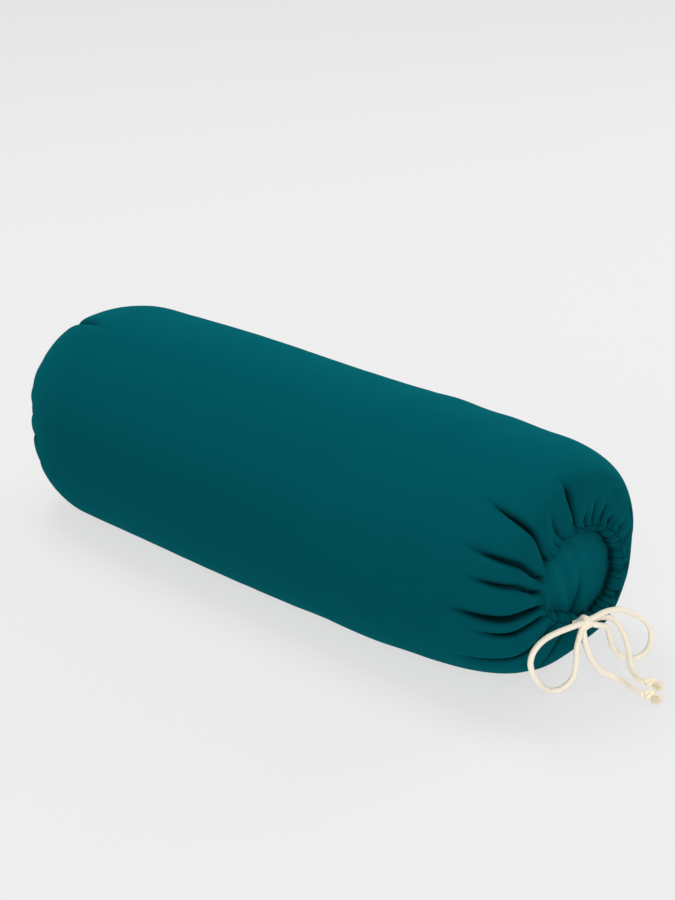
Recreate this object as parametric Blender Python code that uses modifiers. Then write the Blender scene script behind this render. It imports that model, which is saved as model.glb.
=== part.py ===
"""Round yoga and massage bolster: a gathered cloth cover with a drawstring mouth over a filled inner pillow.

Metres, +Z up. The bolster lies on the floor with its length along X and its drawstring mouth at +X.
The origin is on the floor, under the middle of the bolster.
"""

import math

import bmesh
import bpy
from mathutils import Matrix, Vector

# Outer cover
LENGTH = 0.650
HALF_WIDTH = 0.117
HEIGHT = 0.2255  # before the floor flattens the underside
CENTRE_HEIGHT = 0.118  # the widest line of the section
FLOOR_FLAT = 0.0015  # how much of the underside the floor takes away
SAG_POWER = 2.69  # superellipse power of the lower half; 2 is round
SLACK = 0.030  # how much slimmer the middle is than the ends
TAPER = 0.035  # how much fatter the mouth end is than the middle
COVER_WALL = 0.0024
SEGMENTS = 40

# Rounding of the two ends: its length, the end plane's share of the radius, the superellipse power
MOUTH_ROUND, MOUTH_SHARE, MOUTH_POWER = 0.224, 0.609, 2.859
FAR_ROUND, FAR_SHARE, FAR_POWER = 0.092, 0.49, 1.867
SLEEVE_END = 0.200  # where the plain sleeve meets the gathered mouth
SLEEVE_START = -0.232  # where it meets the gathered far end
END_PLANE = 0.3220  # the face of the gathers at the mouth

# The far patch's outline: how deep each ring lies, and how far inside the hole's edge
PATCH_RINGS = ((0.0040, 0.0006), (0.0012, 0.0006), (0.0, 0.0016))

# Drawstring channel and cord
NECK_HEIGHT = 0.108
CHANNEL_RING = 0.046
# How much further than CHANNEL_RING the drawn mouth reaches, every 45 degrees from +Y through +Z
MOUTH_REACH = (0.0225, 0.0050, 0.0010, 0.0060, 0.0050, 0.0003, 0.0022, 0.0265)
CHANNEL_OUTER = 0.006
CHANNEL_INNER = 0.0036
CHANNEL_X = LENGTH / 2 - CHANNEL_OUTER
CHANNEL_GAP = math.radians(9)  # half of the slit at the bottom that the cord leaves by
NECK_RADIUS = CHANNEL_RING + CHANNEL_OUTER + 0.0006
CORD = 0.0055

# Inner pillow
INNER_HALF_WIDTH = 0.109
INNER_BOTTOM = 0.0032
INNER_TOP = 0.2050
INNER_CENTRE = 0.105
INNER_WALL = 0.0012
# Each domed end: where it starts, its length, its superellipse power
NEAR_DOME = (0.185, 0.131, 2.7)
FAR_DOME = (0.228, 0.088, 2.2)
SEAM_SHARE = 0.55  # where round the dome the end panel is sewn on, as a share of a right angle

# Zip, along the top of the inner pillow
ZIP_HALF = 0.200
SLOT_HALF = 0.0070
COIL_HALF_LENGTH = 0.190
COIL_WIDTH = 0.0024
TAPE_THICK = 0.0008
COIL_HIGH = 0.0014
SLIDER_X = 0.183
SLIDER_SIZE = (0.012, 0.0092, 0.0029)
GROOVE_HALF = 0.0028
ARCH_HIGH = 0.0026
PULL_LENGTH = 0.020
PULL_WIDTH = 0.006
PULL_THICK = 0.0009
PULL_BAR = 0.0006  # radius of the round bar that turns in the arch

GAP = 0.0003
TAPE_BOTTOM = INNER_TOP - INNER_WALL
COIL_BOTTOM = TAPE_BOTTOM + TAPE_THICK + GAP
SLIDER_TOP = COIL_BOTTOM + SLIDER_SIZE[2]
PULL_AXIS_Z = SLIDER_TOP + 0.0009

# Routes of the free cord, from the knot out
KNOT_AT = (0.3355, 0.001, 0.0645)
KNOT_SIZE = (0.0062, 0.0092, 0.0066)
LOOP_LEFT = [
    (0.3360, -0.0085, 0.0665), (0.3330, -0.0350, 0.0685), (0.3300, -0.0520, 0.0665), (0.3270, -0.0615, 0.0587),
    (0.3260, -0.0650, 0.0485), (0.3270, -0.0630, 0.0373), (0.3280, -0.0550, 0.0245), (0.3265, -0.0430, 0.0130),
    (0.3270, -0.0330, 0.0060), (0.3315, -0.0245, 0.0062), (0.3365, -0.0190, 0.0125), (0.3385, -0.0152, 0.0205),
    (0.3390, -0.0140, 0.0335), (0.3390, -0.0142, 0.0465), (0.3380, -0.0095, 0.0555),
]
LOOP_RIGHT = [
    (0.3385, 0.0105, 0.0665), (0.3400, 0.0268, 0.0666), (0.3420, 0.0453, 0.0618), (0.3430, 0.0646, 0.0505),
    (0.3450, 0.0811, 0.0383), (0.3460, 0.0916, 0.0255), (0.3475, 0.0925, 0.0145), (0.3495, 0.0840, 0.0070),
    (0.3483, 0.0743, 0.0042), (0.3438, 0.0650, 0.0040), (0.3390, 0.0560, 0.0085), (0.3385, 0.0440, 0.0225),
    (0.3395, 0.0364, 0.0365), (0.3405, 0.0285, 0.0500), (0.3405, 0.0125, 0.0590),
]
TAIL_FRONT = [
    (0.337, -0.0022, 0.0560), (0.340, -0.001, 0.0420), (0.343, 0.0065, 0.0250), (0.346, 0.0175, 0.0110),
    (0.353, 0.0265, 0.0045), (0.364, 0.0270, 0.0031), (0.377, 0.0230, 0.0031), (0.389, 0.0210, 0.0031),
]
TAIL_BACK = [
    (0.3325, 0.0112, 0.0590), (0.3325, 0.0300, 0.0568), (0.3345, 0.0480, 0.0480), (0.3390, 0.0575, 0.0334),
    (0.3440, 0.0588, 0.0208), (0.3496, 0.0545, 0.0128), (0.3551, 0.0490, 0.0070), (0.3628, 0.0445, 0.0037),
    (0.3705, 0.0405, 0.0031), (0.3768, 0.0395, 0.0031),
]
TAIL_FRONT_END = (0.3945, 0.0210, 0.0048)
TAIL_BACK_END = (0.3822, 0.0395, 0.0048)
TAIL_KNOT_RADIUS = 0.0045

# Care label, sewn low on the back of the sleeve
LABEL_X = (-0.150, -0.116)
LABEL_ANGLES = (-9, -18, -27)
LABEL_THICK = 0.0008

TEAL = (0.004, 0.087, 0.107)
COTTON = (0.78, 0.72, 0.60)


def material(name, colour, roughness, metallic=0.0):
    found = bpy.data.materials.get(name)
    if found:
        return found
    made = bpy.data.materials.new(name)
    made.use_nodes = True
    shader = made.node_tree.nodes["Principled BSDF"]
    shader.inputs["Base Color"].default_value = (*colour, 1)
    shader.inputs["Roughness"].default_value = roughness
    shader.inputs["Metallic"].default_value = metallic
    return made


def add(name, mesh, collection, look=None):
    made = bpy.data.objects.new(name, mesh)
    collection.objects.link(made)
    if look:
        mesh.materials.append(look)
    return made


def signed_power(value, power):
    return math.copysign(abs(value) ** power, value)


def curl(share, power):
    """(how far along, what share of the radius is left) a superellipse quarter, share from 0 to 1."""
    angle = share * math.pi / 2
    return max(math.sin(angle), 0) ** (2 / power), max(math.cos(angle), 0) ** (2 / power)


# ---------------------------------------------------------------- sections of the two soft bodies


def swell(x):
    """How fat the cover is at x: slimmer in the middle, fatter towards the mouth."""
    along = 2 * x / LENGTH
    return 1 - SLACK * (1 - along * along) + TAPER * along


def cover_ring(x, share, inset=0.0, angles=None):
    """The cover's section at x. It is round above and boxier below, where the fill sags."""
    fat = swell(x)
    ring = []
    for angle in angles or [2 * math.pi * k / SEGMENTS for k in range(SEGMENTS)]:
        power = 2 / SAG_POWER if math.sin(angle) < 0 else 1
        reach = CENTRE_HEIGHT if math.sin(angle) < 0 else HEIGHT - CENTRE_HEIGHT
        y = (share * fat * HALF_WIDTH - inset) * signed_power(math.cos(angle), power)
        z = fat * CENTRE_HEIGHT + (share * fat * reach - inset) * signed_power(math.sin(angle), power)
        ring.append((x, y, max(z, FLOOR_FLAT + inset) - FLOOR_FLAT))
    return ring


def mouth_reach(angle):
    """The smooth wave round the mouth that passes through MOUTH_REACH."""
    total = 0
    for k, reach in enumerate(MOUTH_REACH):
        turn = angle - k * math.pi / 4
        waves = 1 + 2 * (math.cos(turn) + math.cos(2 * turn) + math.cos(3 * turn)) + math.cos(4 * turn)
        total += reach * waves / 8
    return total


def mouth_point(x, radius, angle):
    """A point of the drawn mouth, about the neck's own centre."""
    out = radius + mouth_reach(angle)
    return x, out * math.cos(angle), NECK_HEIGHT + out * math.sin(angle)


def mouth_ring(x, radius):
    return [mouth_point(x, radius, 2 * math.pi * k / SEGMENTS) for k in range(SEGMENTS)]


def inner_ring(x, share, inset=0.0):
    """The inner pillow's section at x."""
    ring = []
    for k in range(SEGMENTS):
        angle = 2 * math.pi * k / SEGMENTS
        low = math.sin(angle) < 0
        power = 2 / SAG_POWER if low else 1
        reach = INNER_CENTRE - INNER_BOTTOM if low else INNER_TOP - INNER_CENTRE
        y = (share * INNER_HALF_WIDTH - inset) * signed_power(math.cos(angle), power)
        z = INNER_CENTRE + (share * reach - inset) * signed_power(math.sin(angle), power)
        ring.append((x, y, z))
    return ring


def loft(name, rings, pole=None, closed_ends=False):
    """A surface through rings of equal count. pole closes the last ring to a point."""
    shape = bmesh.new()
    rows = [[shape.verts.new(p) for p in ring] for ring in rings]
    for row, after in zip(rows, rows[1:]):
        for k in range(len(row)):
            j = (k + 1) % len(row)
            shape.faces.new((row[k], row[j], after[j], after[k]))
    if pole:
        tip = shape.verts.new(pole)
        for k in range(len(rows[-1])):
            shape.faces.new((rows[-1][k], rows[-1][(k + 1) % len(rows[-1])], tip))
    if closed_ends:
        shape.faces.new(rows[0])
        shape.faces.new(rows[-1])
    bmesh.ops.recalc_face_normals(shape, faces=shape.faces)
    mesh = bpy.data.meshes.new(name)
    shape.to_mesh(mesh)
    shape.free()
    mesh.shade_smooth()
    mesh.set_sharp_from_angle(angle=math.radians(50))
    return mesh


def face_outwards(mesh, middle):
    """Turns an open surface so that its faces look away from the middle point."""
    first = mesh.polygons[0]
    if (first.center - Vector(middle)).dot(first.normal) < 0:
        mesh.flip_normals()


def shell(name, rings, wall, collection, look, middle, pole=None):
    """A cloth wall, from the lofted outer surface inwards."""
    mesh = loft(name, rings, pole)
    face_outwards(mesh, middle)
    made = add(name, mesh, collection, look)
    thick = made.modifiers.new("wall", "SOLIDIFY")
    thick.thickness = wall
    thick.offset = -1
    return made


# ---------------------------------------------------------------- cover


def mouth_station(share):
    run, left = curl(share, MOUTH_POWER)
    x = LENGTH / 2 - MOUTH_ROUND + MOUTH_ROUND * run
    return x, MOUTH_SHARE + (1 - MOUTH_SHARE) * left


def far_station(share):
    run, left = curl(share, FAR_POWER)
    return -(LENGTH / 2 - FAR_ROUND + FAR_ROUND * run), FAR_SHARE + (1 - FAR_SHARE) * left


def mouth_share_at(x):
    """The share of the radius that the mouth's rounding leaves at x."""
    run = max(0.0, (x - LENGTH / 2 + MOUTH_ROUND) / MOUTH_ROUND)
    angle = math.asin(min(1.0, run ** (MOUTH_POWER / 2)))
    return MOUTH_SHARE + (1 - MOUTH_SHARE) * curl(angle / (math.pi / 2), MOUTH_POWER)[1]


def cover(collection, cloth):
    middle = (0, 0, CENTRE_HEIGHT)
    stations = [SLEEVE_START, -0.16, -0.08, 0.0, 0.08, 0.15, SLEEVE_END]
    shell("cover_sleeve", [cover_ring(x, mouth_share_at(x)) for x in stations],
          COVER_WALL, collection, cloth, middle)

    far = [far_station(share / 8) for share in range(9)]
    far = [(x, left) for x, left in far if x < SLEEVE_START - GAP]
    rings = [cover_ring(SLEEVE_START - GAP, 1)] + [cover_ring(x, left) for x, left in far]
    shell("cover_far_gather", rings, COVER_WALL, collection, cloth, middle)

    near = [mouth_station(share / 12) for share in range(13)]
    near = [(x, left) for x, left in near if SLEEVE_END + 0.01 < x < END_PLANE]
    start = SLEEVE_END + GAP
    rings = [cover_ring(start, mouth_share_at(start))] + [cover_ring(x, left) for x, left in near]
    rings += [mouth_ring(END_PLANE, 0.058), mouth_ring(END_PLANE - 0.001, NECK_RADIUS)]
    shell("cover_mouth_gather", rings, COVER_WALL, collection, cloth, middle)


def end_patch(collection, cloth):
    """The round patch that the far gathers are sewn to, in the hole that they leave."""
    x, share = far_station(1)
    rings = [cover_ring(x + depth, share, inset) for depth, inset in PATCH_RINGS]
    mesh = loft("cover_end_patch", rings, closed_ends=True)
    add("cover_end_patch", mesh, collection, cloth)


def care_label(collection, look):
    """A folded label that lies against the sleeve."""
    angles = [math.radians(a) for a in LABEL_ANGLES]
    shape = bmesh.new()
    rows = [[shape.verts.new(p) for p in cover_ring(x, 1, -0.0005 - LABEL_THICK, angles)] for x in LABEL_X]
    for k in range(len(angles) - 1):
        shape.faces.new((rows[0][k], rows[0][k + 1], rows[1][k + 1], rows[1][k]))
    mesh = bpy.data.meshes.new("care_label")
    shape.to_mesh(mesh)
    shape.free()
    face_outwards(mesh, (0, 0, CENTRE_HEIGHT))
    made = add("care_label", mesh, collection, look)
    thick = made.modifiers.new("thickness", "SOLIDIFY")
    thick.thickness = LABEL_THICK
    thick.offset = -1


# ---------------------------------------------------------------- drawstring


def channel(collection, cloth):
    """The hem tunnel: a tube round the neck, open at the slit that the cord leaves by."""
    steps, sides = 36, 10
    shape = bmesh.new()
    skins = []
    for radius in (CHANNEL_OUTER, CHANNEL_INNER):
        rows = []
        for k in range(steps + 1):
            around = -math.pi / 2 + CHANNEL_GAP + k * (2 * math.pi - 2 * CHANNEL_GAP) / steps
            out = Vector((0, math.cos(around), math.sin(around)))
            centre = Vector(mouth_point(CHANNEL_X, CHANNEL_RING, around))
            turns = [2 * math.pi * j / sides for j in range(sides)]
            rows.append([shape.verts.new(centre + radius * (math.cos(t) * out + Vector((math.sin(t), 0, 0))))
                         for t in turns])
        skins.append(rows)
    for rows in skins:
        for row, after in zip(rows, rows[1:]):
            for j in range(sides):
                shape.faces.new((row[j], row[(j + 1) % sides], after[(j + 1) % sides], after[j]))
    for end in (0, -1):
        outer, inner = skins[0][end], skins[1][end]
        for j in range(sides):
            shape.faces.new((outer[j], outer[(j + 1) % sides], inner[(j + 1) % sides], inner[j]))
    bmesh.ops.recalc_face_normals(shape, faces=shape.faces)
    mesh = bpy.data.meshes.new("drawstring_channel")
    shape.to_mesh(mesh)
    shape.free()
    mesh.shade_smooth()
    add("drawstring_channel", mesh, collection, cloth)


def smooth_route(points, step):
    """Evenly spaced points on the smooth curve through a route's own points."""
    knots = [Vector(p) for p in points]
    knots = [2 * knots[0] - knots[1]] + knots + [2 * knots[-1] - knots[-2]]
    fine = []
    for a, b, c, d in zip(knots, knots[1:], knots[2:], knots[3:]):
        for k in range(20):
            t = k / 20
            fine.append(0.5 * (2 * b + (c - a) * t + (2 * a - 5 * b + 4 * c - d) * t * t
                               + (3 * b - a - 3 * c + d) * t * t * t))
    fine.append(knots[-2])
    length = sum((q - p).length for p, q in zip(fine, fine[1:]))
    count = max(2, round(length / step))
    spaced, travelled, wanted = [fine[0]], 0.0, 1
    for p, q in zip(fine, fine[1:]):
        travelled += (q - p).length
        while wanted < count and travelled >= wanted * length / count:
            spaced.append(q)
            wanted += 1
    return spaced + [fine[-1]]


def cord(name, points, collection, look, diameter=CORD):
    line = bpy.data.curves.new(name, "CURVE")
    line.dimensions = "3D"
    line.bevel_depth = diameter / 2
    line.bevel_resolution = 2
    line.use_fill_caps = True
    spline = line.splines.new("POLY")
    spline.points.add(len(points) - 1)
    for slot, p in zip(spline.points, points):
        slot.co = (*p, 1)
    return add(name, line, collection, look)


def ball(name, at, size, collection, look):
    """A tightened knot, as a plain rounded lump."""
    shape = bmesh.new()
    bmesh.ops.create_uvsphere(shape, u_segments=12, v_segments=8, radius=1)
    bmesh.ops.scale(shape, vec=size, verts=shape.verts)
    mesh = bpy.data.meshes.new(name)
    shape.to_mesh(mesh)
    shape.free()
    mesh.shade_smooth()
    add(name, mesh, collection, look).location = at


def drawstring(collection, cotton):
    """The cord round the neck, inside its channel, up to the slit on each side."""
    ring = []
    for k in range(33):
        around = -math.pi / 2 + CHANNEL_GAP + k * (2 * math.pi - 2 * CHANNEL_GAP) / 32
        ring.append(mouth_point(CHANNEL_X, CHANNEL_RING, around))
    cord("drawstring", ring, collection, cotton)
    ball("bow_knot", KNOT_AT, KNOT_SIZE, collection, cotton)
    step = 2.6 * CORD
    for name, route in (("bow_loop_left", LOOP_LEFT), ("bow_loop_right", LOOP_RIGHT),
                        ("tail_front", TAIL_FRONT), ("tail_back", TAIL_BACK)):
        cord(name, smooth_route(route, step), collection, cotton)
    for name, at in (("tail_front_knot", TAIL_FRONT_END), ("tail_back_knot", TAIL_BACK_END)):
        ball(name, at, (TAIL_KNOT_RADIUS,) * 3, collection, cotton)


# ---------------------------------------------------------------- inner pillow


def dome_station(dome, share, inset=0.0):
    """(distance from the middle, share of the radius) partway round a domed end."""
    start, length, power = dome
    run, left = curl(share, power)
    return start + (length - inset) * run, left


def inner_pillow(collection, cloth, fill):
    middle = (0, 0, INNER_CENTRE)
    steps = [SEAM_SHARE * k / 4 for k in range(5)]
    body = [(-x, s) for x, s in (dome_station(FAR_DOME, share) for share in reversed(steps))]
    body += [(x, 1) for x in (-0.12, 0.0, 0.1)]
    body += [dome_station(NEAR_DOME, share) for share in steps]
    casing = shell("inner_casing", [inner_ring(x, s) for x, s in body], INNER_WALL, collection, cloth, middle)

    for name, dome, side in (("inner_end_near", NEAR_DOME, 1), ("inner_end_far", FAR_DOME, -1)):
        shares = [SEAM_SHARE + 0.005 + (0.995 - SEAM_SHARE) * k / 6 for k in range(6)]
        stations = [dome_station(dome, share) for share in shares]
        rings = [inner_ring(side * x, s) for x, s in stations]
        tip = (side * (dome[0] + dome[1]), 0, INNER_CENTRE)
        shell(name, rings, INNER_WALL, collection, cloth, middle, pole=tip)

    inset = INNER_WALL + 0.0006
    steps = [k / 8 for k in range(8)]
    stations = [(-x, s) for x, s in (dome_station(FAR_DOME, share, inset) for share in reversed(steps))]
    stations += [dome_station(NEAR_DOME, share, inset) for share in steps]
    mesh = loft("inner_fill", [inner_ring(x, s, inset) for x, s in stations], closed_ends=True)
    add("inner_fill", mesh, collection, fill)
    return casing


# ---------------------------------------------------------------- zip


def box(name, low, high, collection, look=None):
    shape = bmesh.new()
    bmesh.ops.create_cube(shape, size=1)
    size = [b - a for a, b in zip(low, high)]
    bmesh.ops.scale(shape, vec=size, verts=shape.verts)
    mesh = bpy.data.meshes.new(name)
    shape.to_mesh(mesh)
    shape.free()
    made = add(name, mesh, collection, look)
    made.location = [(a + b) / 2 for a, b in zip(low, high)]
    return made


def cutter(name, low, high, cutters):
    made = box(name, low, high, cutters)
    made.hide_render = True
    made.display_type = "WIRE"
    return made


def rod(name, centre, length, radius, cutters):
    """A round bar along Y."""
    mesh = bpy.data.meshes.new(name)
    shape = bmesh.new()
    turn = Matrix.Translation(centre) @ Matrix.Rotation(math.pi / 2, 4, "X")
    bmesh.ops.create_cone(shape, cap_ends=True, segments=16, radius1=radius, radius2=radius,
                          depth=length, matrix=turn)
    shape.to_mesh(mesh)
    shape.free()
    made = add(name, mesh, cutters)
    made.hide_render = True
    return made


def boolean(target, other, operation):
    change = target.modifiers.new(other.name, "BOOLEAN")
    change.object = other
    change.operation = operation


def zip_strips(collection, cutters, casing, tape_look, coil_look, metal):
    """The slot in the casing, the two tapes that close it, and each tape's coil."""
    slot = cutter("zip_slot", (-ZIP_HALF, -SLOT_HALF, INNER_TOP - 0.012),
                  (ZIP_HALF, SLOT_HALF, INNER_TOP + 0.012), cutters)
    boolean(casing, slot, "DIFFERENCE")
    for side, sign in (("left", -1), ("right", 1)):
        across = sorted((sign * GAP / 2, sign * (SLOT_HALF - GAP)))
        box(f"zip_tape_{side}", (-ZIP_HALF + GAP, across[0], TAPE_BOTTOM),
            (ZIP_HALF - GAP, across[1], TAPE_BOTTOM + TAPE_THICK), collection, tape_look)
        across = sorted((sign * GAP / 2, sign * COIL_WIDTH))
        box(f"zip_coil_{side}", (-COIL_HALF_LENGTH, across[0], COIL_BOTTOM),
            (COIL_HALF_LENGTH, across[1], COIL_BOTTOM + COIL_HIGH), collection, coil_look)
    for name, sign in (("zip_top_stop", 1), ("zip_bottom_stop", -1)):
        along = sorted((sign * (COIL_HALF_LENGTH + GAP), sign * (COIL_HALF_LENGTH + 0.004)))
        box(name, (along[0], -COIL_WIDTH, COIL_BOTTOM),
            (along[1], COIL_WIDTH, COIL_BOTTOM + 0.0018), collection, metal)


def zip_slider(collection, cutters, metal):
    """A slider that straddles both coils, with the arch that the pull hangs on."""
    length, width, _ = SLIDER_SIZE
    low = (SLIDER_X - length / 2, -width / 2, COIL_BOTTOM)
    body = box("zip_slider", low, (SLIDER_X + length / 2, width / 2, SLIDER_TOP), collection, metal)
    groove = cutter("slider_groove", (SLIDER_X - length, -GROOVE_HALF, COIL_BOTTOM - 0.002),
                    (SLIDER_X + length, GROOVE_HALF, COIL_BOTTOM + COIL_HIGH + GAP), cutters)
    arch = cutter("slider_arch", (SLIDER_X - 0.003, -0.0008, SLIDER_TOP - 0.0004),
                  (SLIDER_X + 0.003, 0.0008, SLIDER_TOP + ARCH_HIGH), cutters)
    window = cutter("arch_window", (SLIDER_X - 0.0019, -0.003, SLIDER_TOP + 0.0001),
                    (SLIDER_X + 0.0019, 0.003, SLIDER_TOP + 0.0017), cutters)
    boolean(body, groove, "DIFFERENCE")
    boolean(body, arch, "UNION")
    boolean(body, window, "DIFFERENCE")
    return body


def zip_pull(collection, cutters, metal, slider):
    """The pull tab. Its cross bar passes through the arch, and its origin is on that bar's axis."""
    axis = Vector((SLIDER_X, 0, PULL_AXIS_Z))
    half = PULL_THICK / 2
    pull = box("zip_pull", (-PULL_LENGTH, -PULL_WIDTH / 2, -half), (0, PULL_WIDTH / 2, half),
               collection, metal)
    pull.data.transform(pull.matrix_basis.Translation(pull.location))
    pull.location = axis
    window = cutter("pull_window", axis + Vector((-0.0060, -0.0014, -0.004)),
                    axis + Vector((-0.9 * PULL_BAR, 0.0014, 0.004)), cutters)
    hole = cutter("pull_hole", axis + Vector((-0.0172, -0.0014, -0.004)),
                  axis + Vector((-0.0140, 0.0014, 0.004)), cutters)
    boolean(pull, window, "DIFFERENCE")
    boolean(pull, hole, "DIFFERENCE")
    boolean(pull, rod("pull_bar", axis, 0.93 * PULL_WIDTH, PULL_BAR, cutters), "UNION")
    bpy.context.view_layer.update()
    pull.parent = slider
    pull.matrix_parent_inverse = slider.matrix_world.inverted()


def main():
    for old in list(bpy.data.objects):
        bpy.data.objects.remove(old, do_unlink=True)
    collection = bpy.data.collections.new("bolster_pillow")
    cutters = bpy.data.collections.new("cutters")
    for made in (collection, cutters):
        bpy.context.scene.collection.children.link(made)

    cover_cloth = material("cover_cloth", TEAL, 0.85)
    inner_cloth = material("inner_cloth", TEAL, 0.85)
    cotton = material("cotton_cord", COTTON, 0.9)
    husk = material("husk_fill", (0.45, 0.32, 0.18), 0.95)
    tape = material("zip_tape", (0.006, 0.06, 0.075), 0.8)
    coil = material("zip_coil", (0.01, 0.05, 0.06), 0.45)
    metal = material("zip_metal", (0.42, 0.42, 0.43), 0.35, 1.0)
    label = material("label_cloth", (0.80, 0.80, 0.78), 0.7)

    cover(collection, cover_cloth)
    end_patch(collection, cover_cloth)
    care_label(collection, label)
    channel(collection, cover_cloth)
    drawstring(collection, cotton)
    casing = inner_pillow(collection, inner_cloth, husk)
    zip_strips(collection, cutters, casing, tape, coil, metal)
    slider = zip_slider(collection, cutters, metal)
    zip_pull(collection, cutters, metal, slider)


main()
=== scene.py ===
"""Looks of the round yoga and massage bolster: gathered teal cover, cotton drawstring bow and inner pillow.

Metres, in the frame of the CAD model: the length lies along X and the drawstring mouth is at +X.
"""

import math

import bpy
import numpy as np
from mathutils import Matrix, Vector


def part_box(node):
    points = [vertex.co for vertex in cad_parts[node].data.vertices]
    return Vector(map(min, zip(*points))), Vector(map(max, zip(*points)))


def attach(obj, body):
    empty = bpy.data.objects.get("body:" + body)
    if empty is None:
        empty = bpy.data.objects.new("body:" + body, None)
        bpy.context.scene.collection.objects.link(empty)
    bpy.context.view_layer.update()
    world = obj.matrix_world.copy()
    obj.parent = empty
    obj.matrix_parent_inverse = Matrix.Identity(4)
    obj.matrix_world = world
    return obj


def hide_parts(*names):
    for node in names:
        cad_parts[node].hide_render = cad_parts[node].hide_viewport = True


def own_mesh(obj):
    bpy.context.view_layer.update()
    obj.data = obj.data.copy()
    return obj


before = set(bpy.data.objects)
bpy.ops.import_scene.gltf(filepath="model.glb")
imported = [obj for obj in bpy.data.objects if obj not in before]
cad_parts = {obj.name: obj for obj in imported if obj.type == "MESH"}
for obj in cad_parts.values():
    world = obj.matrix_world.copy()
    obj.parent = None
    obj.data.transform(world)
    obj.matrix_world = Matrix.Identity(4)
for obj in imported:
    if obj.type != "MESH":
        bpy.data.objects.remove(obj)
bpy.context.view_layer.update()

# ---------------------------------------------------------------- driving dimensions

LENGTH = 0.650
HALF_WIDTH = 0.117
HEIGHT = 0.2255
CENTRE_HEIGHT = 0.118
# How much of the underside the floor takes away
FLOOR_FLAT = 0.0015
# Superellipse power of the lower half, where 2 is round, what the middle adds to it, and how far along
SAG_POWER = 2.69
SAG_MIDDLE = 0.25
SAG_REACH = 0.19
# How much slimmer the middle is than the ends, and how much fatter the mouth end is than the middle
SLACK = 0.030
TAPER = 0.035
# Where the cloth stands fuller or slimmer than the even taper: middle, half length, share of the width
PLUMP = ((-0.105, 0.130, 0.020), (0.222, 0.055, -0.012))

# Each rounded end: its length, the share of the width that is left where it closes, and its power
MOUTH_ROUND = 0.224
MOUTH_SHARE = 0.609
MOUTH_POWER = 2.859
FAR_ROUND = 0.092
FAR_SHARE = 0.49
FAR_POWER = 1.867
# The far end's cloth starts under the end patch, at this share of its width there
PATCH_SHARE = 0.97

# The neck is where the gathers meet the hem, a tube of cloth round the drawstring
NECK_HEIGHT = 0.108
NECK_RADIUS = 0.0526
# How much lower than the shoulder the cloth lies at the neck
NECK_DIP = 0.0002
HEM_RING = 0.046
# How much further than HEM_RING the drawn mouth reaches, every 45 degrees from +Y through +Z
MOUTH_REACH = (0.0225, 0.0050, 0.0010, 0.0060, 0.0050, 0.0003, 0.0022, 0.0265)
HEM_TUBE = 0.0076
HEM_X = LENGTH / 2 - 0.006
# Where the hem's tube of cloth begins and ends, in degrees about its own middle
HEM_START = 74
HEM_STOP = 348
CLOTH = 0.0011

PILLOW_HALF_WIDTH = 0.109
PILLOW_BOTTOM = 0.0032
PILLOW_TOP = 0.2050
PILLOW_CENTRE = 0.105
# The inner pillow's domes: where each begins, its length and its power
NEAR_DOME = (0.185, 0.131, 2.7)
FAR_DOME = (0.228, 0.088, 2.2)

# The cord's thickness and the points that each stretch of it passes through
CORD = 0.0055
KNOT_AT = Vector((0.3355, 0.001, 0.0645))
LOOP_LEFT = [
    (0.3360, -0.0085, 0.0665), (0.3330, -0.0350, 0.0685), (0.3300, -0.0520, 0.0665), (0.3270, -0.0615, 0.0587),
    (0.3260, -0.0650, 0.0485), (0.3270, -0.0630, 0.0373), (0.3280, -0.0550, 0.0245), (0.3265, -0.0430, 0.0130),
    (0.3270, -0.0330, 0.0060), (0.3315, -0.0245, 0.0062), (0.3365, -0.0190, 0.0125), (0.3385, -0.0152, 0.0205),
    (0.3390, -0.0140, 0.0335), (0.3390, -0.0142, 0.0465), (0.3380, -0.0095, 0.0555),
]
LOOP_RIGHT = [
    (0.3385, 0.0105, 0.0665), (0.3400, 0.0268, 0.0666), (0.3420, 0.0453, 0.0618), (0.3430, 0.0646, 0.0505),
    (0.3450, 0.0811, 0.0383), (0.3460, 0.0916, 0.0255), (0.3475, 0.0925, 0.0145), (0.3495, 0.0840, 0.0070),
    (0.3483, 0.0743, 0.0042), (0.3438, 0.0650, 0.0040), (0.3390, 0.0560, 0.0085), (0.3385, 0.0440, 0.0225),
    (0.3395, 0.0364, 0.0365), (0.3405, 0.0285, 0.0500), (0.3405, 0.0125, 0.0590),
]
TAIL_FRONT = [
    (0.337, -0.0022, 0.0560), (0.340, -0.001, 0.0420), (0.343, 0.0065, 0.0250), (0.346, 0.0175, 0.0110),
    (0.353, 0.0265, 0.0045), (0.364, 0.0270, 0.0031), (0.377, 0.0230, 0.0031), (0.389, 0.0210, 0.0031),
]
TAIL_BACK = [
    (0.3325, 0.0112, 0.0590), (0.3325, 0.0300, 0.0568), (0.3345, 0.0480, 0.0480), (0.3390, 0.0575, 0.0334),
    (0.3440, 0.0588, 0.0208), (0.3496, 0.0545, 0.0128), (0.3551, 0.0490, 0.0070), (0.3628, 0.0445, 0.0037),
    (0.3705, 0.0405, 0.0031), (0.3768, 0.0395, 0.0031),
]
TAIL_FRONT_END = Vector((0.3945, 0.0210, 0.0048))
TAIL_BACK_END = Vector((0.3822, 0.0395, 0.0048))

# ---------------------------------------------------------------- camera, light and floor

CAMERA_AT = Vector((1.28076, -1.38184, 0.97119))
CAMERA_TO = Vector((-0.00978, 0.05734, 0.11054))
BACKDROP = (0.845, 0.845, 0.845)
FLOOR_LIT = 0.19
FLOOR_GLOW = 0.775


def shader_of(material):
    return material.node_tree.nodes["Principled BSDF"]


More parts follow.
